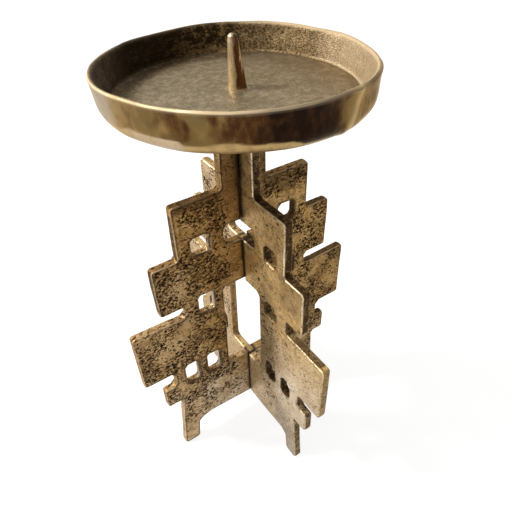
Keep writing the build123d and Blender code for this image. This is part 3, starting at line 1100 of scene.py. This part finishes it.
def filed_spike(name, profile, sides, seed):
    """A section from pole to pole, carried round an axis that leans, with flats left by the file.

    The lean grows with the height to the power of one and a half, and the flats are lumps stretched
    upwards, which scale the radius.
    """
    knots = np.array(profile)
    travel = np.concatenate([[0], np.cumsum(np.hypot(*np.diff(knots, axis=0).T))])
    stations = np.unique(np.concatenate([np.linspace(0, travel[-1], 110), travel]))[1:-1]
    radius = np.interp(stations, travel, knots[:, 0])[:, None]
    level = np.interp(stations, travel, knots[:, 1])[:, None]
    bearing = np.linspace(0, 2 * math.pi, sides, endpoint=False)
    stretched = turned_points(radius, level * 0.3, bearing)
    free = eased(level, dish_floor, dish_floor + 2 * mm)
    flats = 1 + 0.05 * free * lumps(stretched, 1.7 * mm, seed).reshape(len(stations), sides)
    rise = np.clip((level - dish_floor) / spike_height, 0, 1) ** 1.5
    skin = turned_points(radius * flats, level, bearing)
    skin[:, :2] += np.repeat(rise, sides, axis=0) * spike_lean
    poles = [[0, 0, knots[0, 1]], [*spike_lean, knots[-1, 1]]]
    around = np.arange(sides)
    after = np.roll(around, -1)
    bottom, top, last = len(skin), len(skin) + 1, len(skin) - sides
    bottom_cap = np.stack([np.full(sides, bottom), after, around], axis=1)
    top_cap = np.stack([np.full(sides, top), last + around, last + after], axis=1)
    polygons = turned_quads(len(stations), sides, closed=False) + bottom_cap.tolist() + top_cap.tolist()
    return made_piece(name, np.vstack([skin, poles]), polygons, {})


def spike_bronze(name):
    """Worn bronze, filed pale on the left, with a long brown stain and painted shade down the front right
    side, which is turned from the lamp.
    """
    finish, place = new_finish(name)
    mottle = cloud(place, 0.5, 4.0, 0.6, (1, 1, 0.35))
    grain = cloud(place, 2.4, 3.0, 0.6)
    rings = cloud(place, 1.5, 3.0, 0.6, (0.15, 0.15, 1))
    x, y, z = coordinates(place)
    # Painted shade with a brown stain, growing toward the side turned from the lamp, with a lighter strip
    # at its far edge.
    to_right = reckoned("SUBTRACT", times(x, 0.8), times(y, 0.6))
    wavy = plus(to_right, slope(z, 193.0, 211.0, 0.0, 0.9), slope(mottle, 0.3, 0.7, -0.6, 0.6))
    bared = times(slope(wavy, 2.1, 2.7), slope(z, 197.0, 203.0))
    stain_and_shade = reckoned("SUBTRACT", slope(wavy, -0.5, 1.1), times(bared, 0.8))
    colour = layered(
        spike_gold,
        (slope(mottle, 0.35, 0.6), filed_pale),
        (slope(rings, 0.5, 0.65, 0.0, 0.3), ring_brown),
        (stain_and_shade, stain_and_shade_brown),
        (slope(z, 193.3, 192.6), foot_pale),
    )
    finished(colour, slope(mottle, 0.3, 0.7, 0.46, 0.34), 0.75, plus(grain, rings), 0.06 * mm)
    return finish


spike = filed_spike("pricket_filed", spike_profile, sides=96, seed=91)
spike.data.materials.append(spike_bronze("filed_bronze_spike"))
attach(spike, "root")
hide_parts("pricket")

# Stage: a wide pale floor, one soft lamp high on the left, and a dim room that is paler behind the
# stand. The camera looks down on the stand from the front left, close and wide.
table_half = 4.0
table_corners = [(x * table_half, y * table_half, 0) for x, y in ((-1, -1), (1, -1), (1, 1), (-1, 1))]
table_top = made_piece("table", np.array(table_corners), [(0, 1, 2, 3)], {})
paper = bpy.data.materials.new("pale_table")
tree = empty_tree(paper)
lit = wired(tree, "BsdfDiffuse", {"Color": (0.5, 0.5, 0.5, 1)})[0]
faint = wired(tree, "BsdfDiffuse", {"Color": (0.24, 0.24, 0.24, 1)})[0]
glow = wired(tree, "Emission", {"Color": (1, 1, 1, 1), "Strength": 0.84})[0]
seen = wired(tree, "AddShader", {0: faint, 1: glow})[0]
rays = wired(tree, "LightPath", {})
direct = greatest(rays["Is Camera Ray"], rays["Is Glossy Ray"], rays["Is Transmission Ray"])
surface = wired(tree, "MixShader", {0: direct, 1: lit, 2: seen})[0]
wired(tree, "OutputMaterial", {"Surface": surface})
table_top.data.materials.append(paper)

room = bpy.data.worlds.new("room")
bpy.context.scene.world = room
tree = empty_tree(room)
heading = wired(tree, "TexCoord", {})["Generated"]
bright_way = {0: heading, 1: (-0.30, 0.80, 0.52)}
toward_light = wired(tree, "VectorMath", bright_way, operation="DOT_PRODUCT")["Value"]
sky = {"Color": (1.0, 0.99, 0.97, 1), "Strength": slope(toward_light, -0.5, 0.8, 0.42, 0.85)}
wired(tree, "OutputWorld", {"Surface": wired(tree, "Background", sky)[0]})

lamp_data = bpy.data.lights.new("soft_lamp", "AREA")
lamp_data.energy = 10.5
lamp_data.size = 0.15
lamp_data.color = (1.0, 0.97, 0.92)
lamp = placed("soft_lamp", lamp_data)
to_lamp = np.array([-0.573, 0.368, 0.731])
lamp_distance = 0.9
stand_middle = np.array([0, 0, 0.12])
lamp.location = stand_middle + to_lamp * lamp_distance
side_way = np.cross((0, 0, 1), to_lamp)
side_way /= np.linalg.norm(side_way)
lamp_axes = np.column_stack([side_way, np.cross(to_lamp, side_way), to_lamp])
lamp.rotation_euler = Matrix(lamp_axes).to_euler()

yaw, pitch, tilt = math.radians(32.994), math.radians(39.231), math.radians(-1.632)
look = np.array([math.sin(yaw) * math.cos(pitch), math.cos(yaw) * math.cos(pitch), -math.sin(pitch)])
right = np.array([math.cos(yaw), -math.sin(yaw), 0])
upright = np.cross(right, look)
camera_data = bpy.data.cameras.new("camera")
camera_data.sensor_width = 36
camera_data.lens = 32.81
camera_data.clip_start = 0.01
camera = placed("camera", camera_data)
turned_right = math.cos(tilt) * right + math.sin(tilt) * upright
turned_up = math.cos(tilt) * upright - math.sin(tilt) * right
pose = Matrix(np.column_stack([turned_right, turned_up, -look])).to_4x4()
pose.translation = (-88.38 * mm, -145.48 * mm, 252.29 * mm)
camera.matrix_world = pose
bpy.context.scene.camera = camera
bpy.context.scene.view_settings.view_transform = "Standard"
